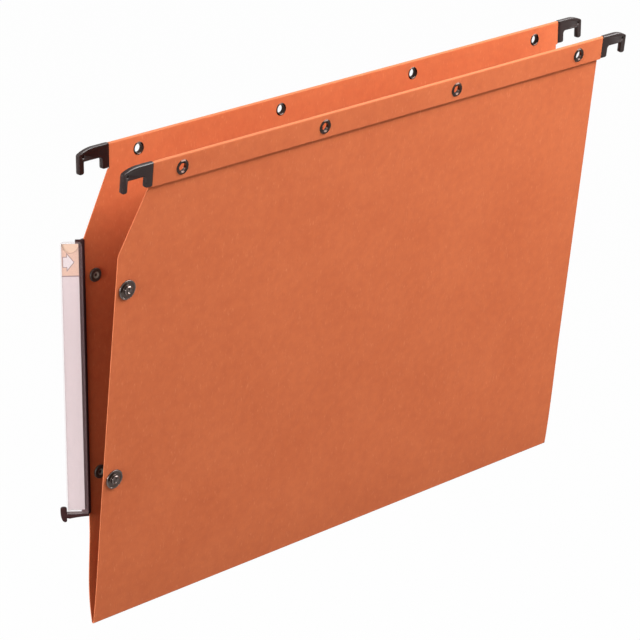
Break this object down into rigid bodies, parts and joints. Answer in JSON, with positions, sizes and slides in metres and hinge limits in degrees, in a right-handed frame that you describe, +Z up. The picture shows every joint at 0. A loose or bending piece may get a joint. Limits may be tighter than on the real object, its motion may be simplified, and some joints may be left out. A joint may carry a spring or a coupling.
{
  "type": "hanging file folder",
  "caption": "Card suspension folder: two halves on a bottom crease, each with a riveted steel rail, end hooks and press fasteners, and a clear side label holder on its left edge.",
  "frame": {"origin": "middle of the four hook seats, where the cupboard rails carry the folder", "axes": "+X along the folder's own rails to the right of its front, +Y from the front half to the back half, +Z up"},
  "size_m": [0.3578, 0.0357, 0.2403],
  "materials": {
    "card": "matt orange kraft card with fine fibres",
    "rail_steel": "plain rolled",
    "hook_plastic": "satin brown-black moulding",
    "eyelet_metal": "dark nickel",
    "stud_metal": "gunmetal",
    "carrier_plastic": "satin brown-black moulding",
    "sleeve_clear": "clear",
    "label_paper": "matt, peach head above a grey-mauve line"
  },
  "bodies": {
    "back_half": {"back_panel": "card", "back_rail": "rail_steel", "back_left_hook": "hook_plastic", "back_right_hook": "hook_plastic", "back_eyelets": "eyelet_metal", "back_upper_socket": "stud_metal", "back_upper_cap": "stud_metal", "back_lower_socket": "stud_metal", "back_lower_cap": "stud_metal", "label_carrier": "carrier_plastic", "label_sleeve": "sleeve_clear"},
    "front_half": {"front_panel": "card", "front_rail": "rail_steel", "front_left_hook": "hook_plastic", "front_right_hook": "hook_plastic", "front_eyelets": "eyelet_metal", "front_upper_stud": "stud_metal", "front_upper_cap": "stud_metal", "front_lower_stud": "stud_metal", "front_lower_cap": "stud_metal"},
    "label": {"paper_label": "label_paper"}
  },
  "joints": [
    {"name": "fold", "type": "hinge", "parent": "back_half", "child": "front_half", "pos_m": [0, 0, -0.23349], "axis": [1, 0, 0], "range_deg": [-5.8, 173]},
    {"name": "label_slide", "type": "slide", "parent": "back_half", "child": "label", "axis": [0, 0.061, 0.9981], "range_m": [0, 0.14]}
  ]
}
